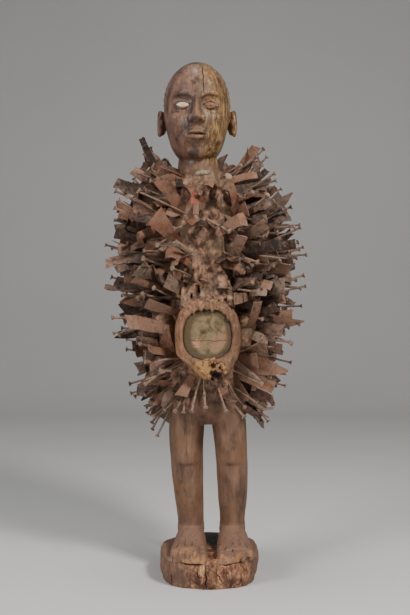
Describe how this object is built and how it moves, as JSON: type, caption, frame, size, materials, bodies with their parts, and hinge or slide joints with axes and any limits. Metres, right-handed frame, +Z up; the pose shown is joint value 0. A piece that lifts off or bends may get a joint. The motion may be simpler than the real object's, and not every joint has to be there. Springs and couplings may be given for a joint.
{
  "type": "standing power figure",
  "caption": "Standing carved wooden figure on a foot block, a glass-fronted resin box on the belly, inlaid eyes, and iron blades and nails driven in all round the trunk.",
  "frame": {"origin": "centre of the foot block's flat underside", "axes": "+Z up through the head, -Y is the way the figure faces, +X to a viewer's right as seen from the front"},
  "size_m": [0.4453, 0.3047, 1.1196],
  "materials": {
    "carved_wood": "old dark hardwood with a worn patina, brown and ochre, cracked along the grain",
    "pack_resin": "brown resin and wood crust, matte, eaten away at the lower rim",
    "belly_glass": "cloudy greenish-brown glass, opaque with dirt behind it",
    "white_inlay": "off-white glazed inlay",
    "red_inlay": "dull red-brown paste, worn",
    "rusty_iron": "hand-forged iron, dark brown with orange rust"
  },
  "bodies": {
    "root": {"carved_figure": "carved_wood", "belly_pack": "pack_resin", "belly_glass": "belly_glass", "right_eye_inlay": "white_inlay", "left_eye_inlay": "red_inlay", "irons_belly_back_left": "rusty_iron", "irons_belly_back_right": "rusty_iron", "irons_belly_left_back": "rusty_iron", "irons_belly_left_front": "rusty_iron", "irons_belly_right_back": "rusty_iron", "irons_belly_right_front": "rusty_iron", "irons_chest_back_left": "rusty_iron", "irons_chest_back_right": "rusty_iron", "irons_chest_front_left": "rusty_iron", "irons_chest_front_right": "rusty_iron", "irons_chest_left_back": "rusty_iron", "irons_chest_left_front": "rusty_iron", "irons_chest_right_back": "rusty_iron", "irons_chest_right_front": "rusty_iron", "irons_collar_back_left": "rusty_iron", "irons_collar_back_right": "rusty_iron", "irons_collar_front_left": "rusty_iron", "irons_collar_front_right": "rusty_iron", "irons_collar_left_back": "rusty_iron", "irons_collar_left_front": "rusty_iron", "irons_collar_right_back": "rusty_iron", "irons_collar_right_front": "rusty_iron", "irons_groin_back_left": "rusty_iron", "irons_groin_back_right": "rusty_iron", "irons_groin_front_left": "rusty_iron", "irons_groin_front_right": "rusty_iron", "irons_groin_left_back": "rusty_iron", "irons_groin_left_front": "rusty_iron", "irons_groin_right_back": "rusty_iron", "irons_groin_right_front": "rusty_iron", "irons_hip_back": "rusty_iron", "irons_hip_back_left": "rusty_iron", "irons_hip_back_right": "rusty_iron", "irons_hip_front_left": "rusty_iron", "irons_hip_front_right": "rusty_iron", "irons_hip_left": "rusty_iron", "irons_hip_right": "rusty_iron", "irons_rib_back": "rusty_iron", "irons_rib_back_left": "rusty_iron", "irons_rib_back_right": "rusty_iron", "irons_rib_front": "rusty_iron", "irons_rib_front_left": "rusty_iron", "irons_rib_front_right": "rusty_iron", "irons_rib_left": "rusty_iron", "irons_rib_right": "rusty_iron", "irons_shoulder_back": "rusty_iron", "irons_shoulder_back_left": "rusty_iron", "irons_shoulder_back_right": "rusty_iron", "irons_shoulder_front": "rusty_iron", "irons_shoulder_front_left": "rusty_iron", "irons_shoulder_front_right": "rusty_iron", "irons_shoulder_left": "rusty_iron", "irons_shoulder_right": "rusty_iron"}
  },
  "joints": []
}
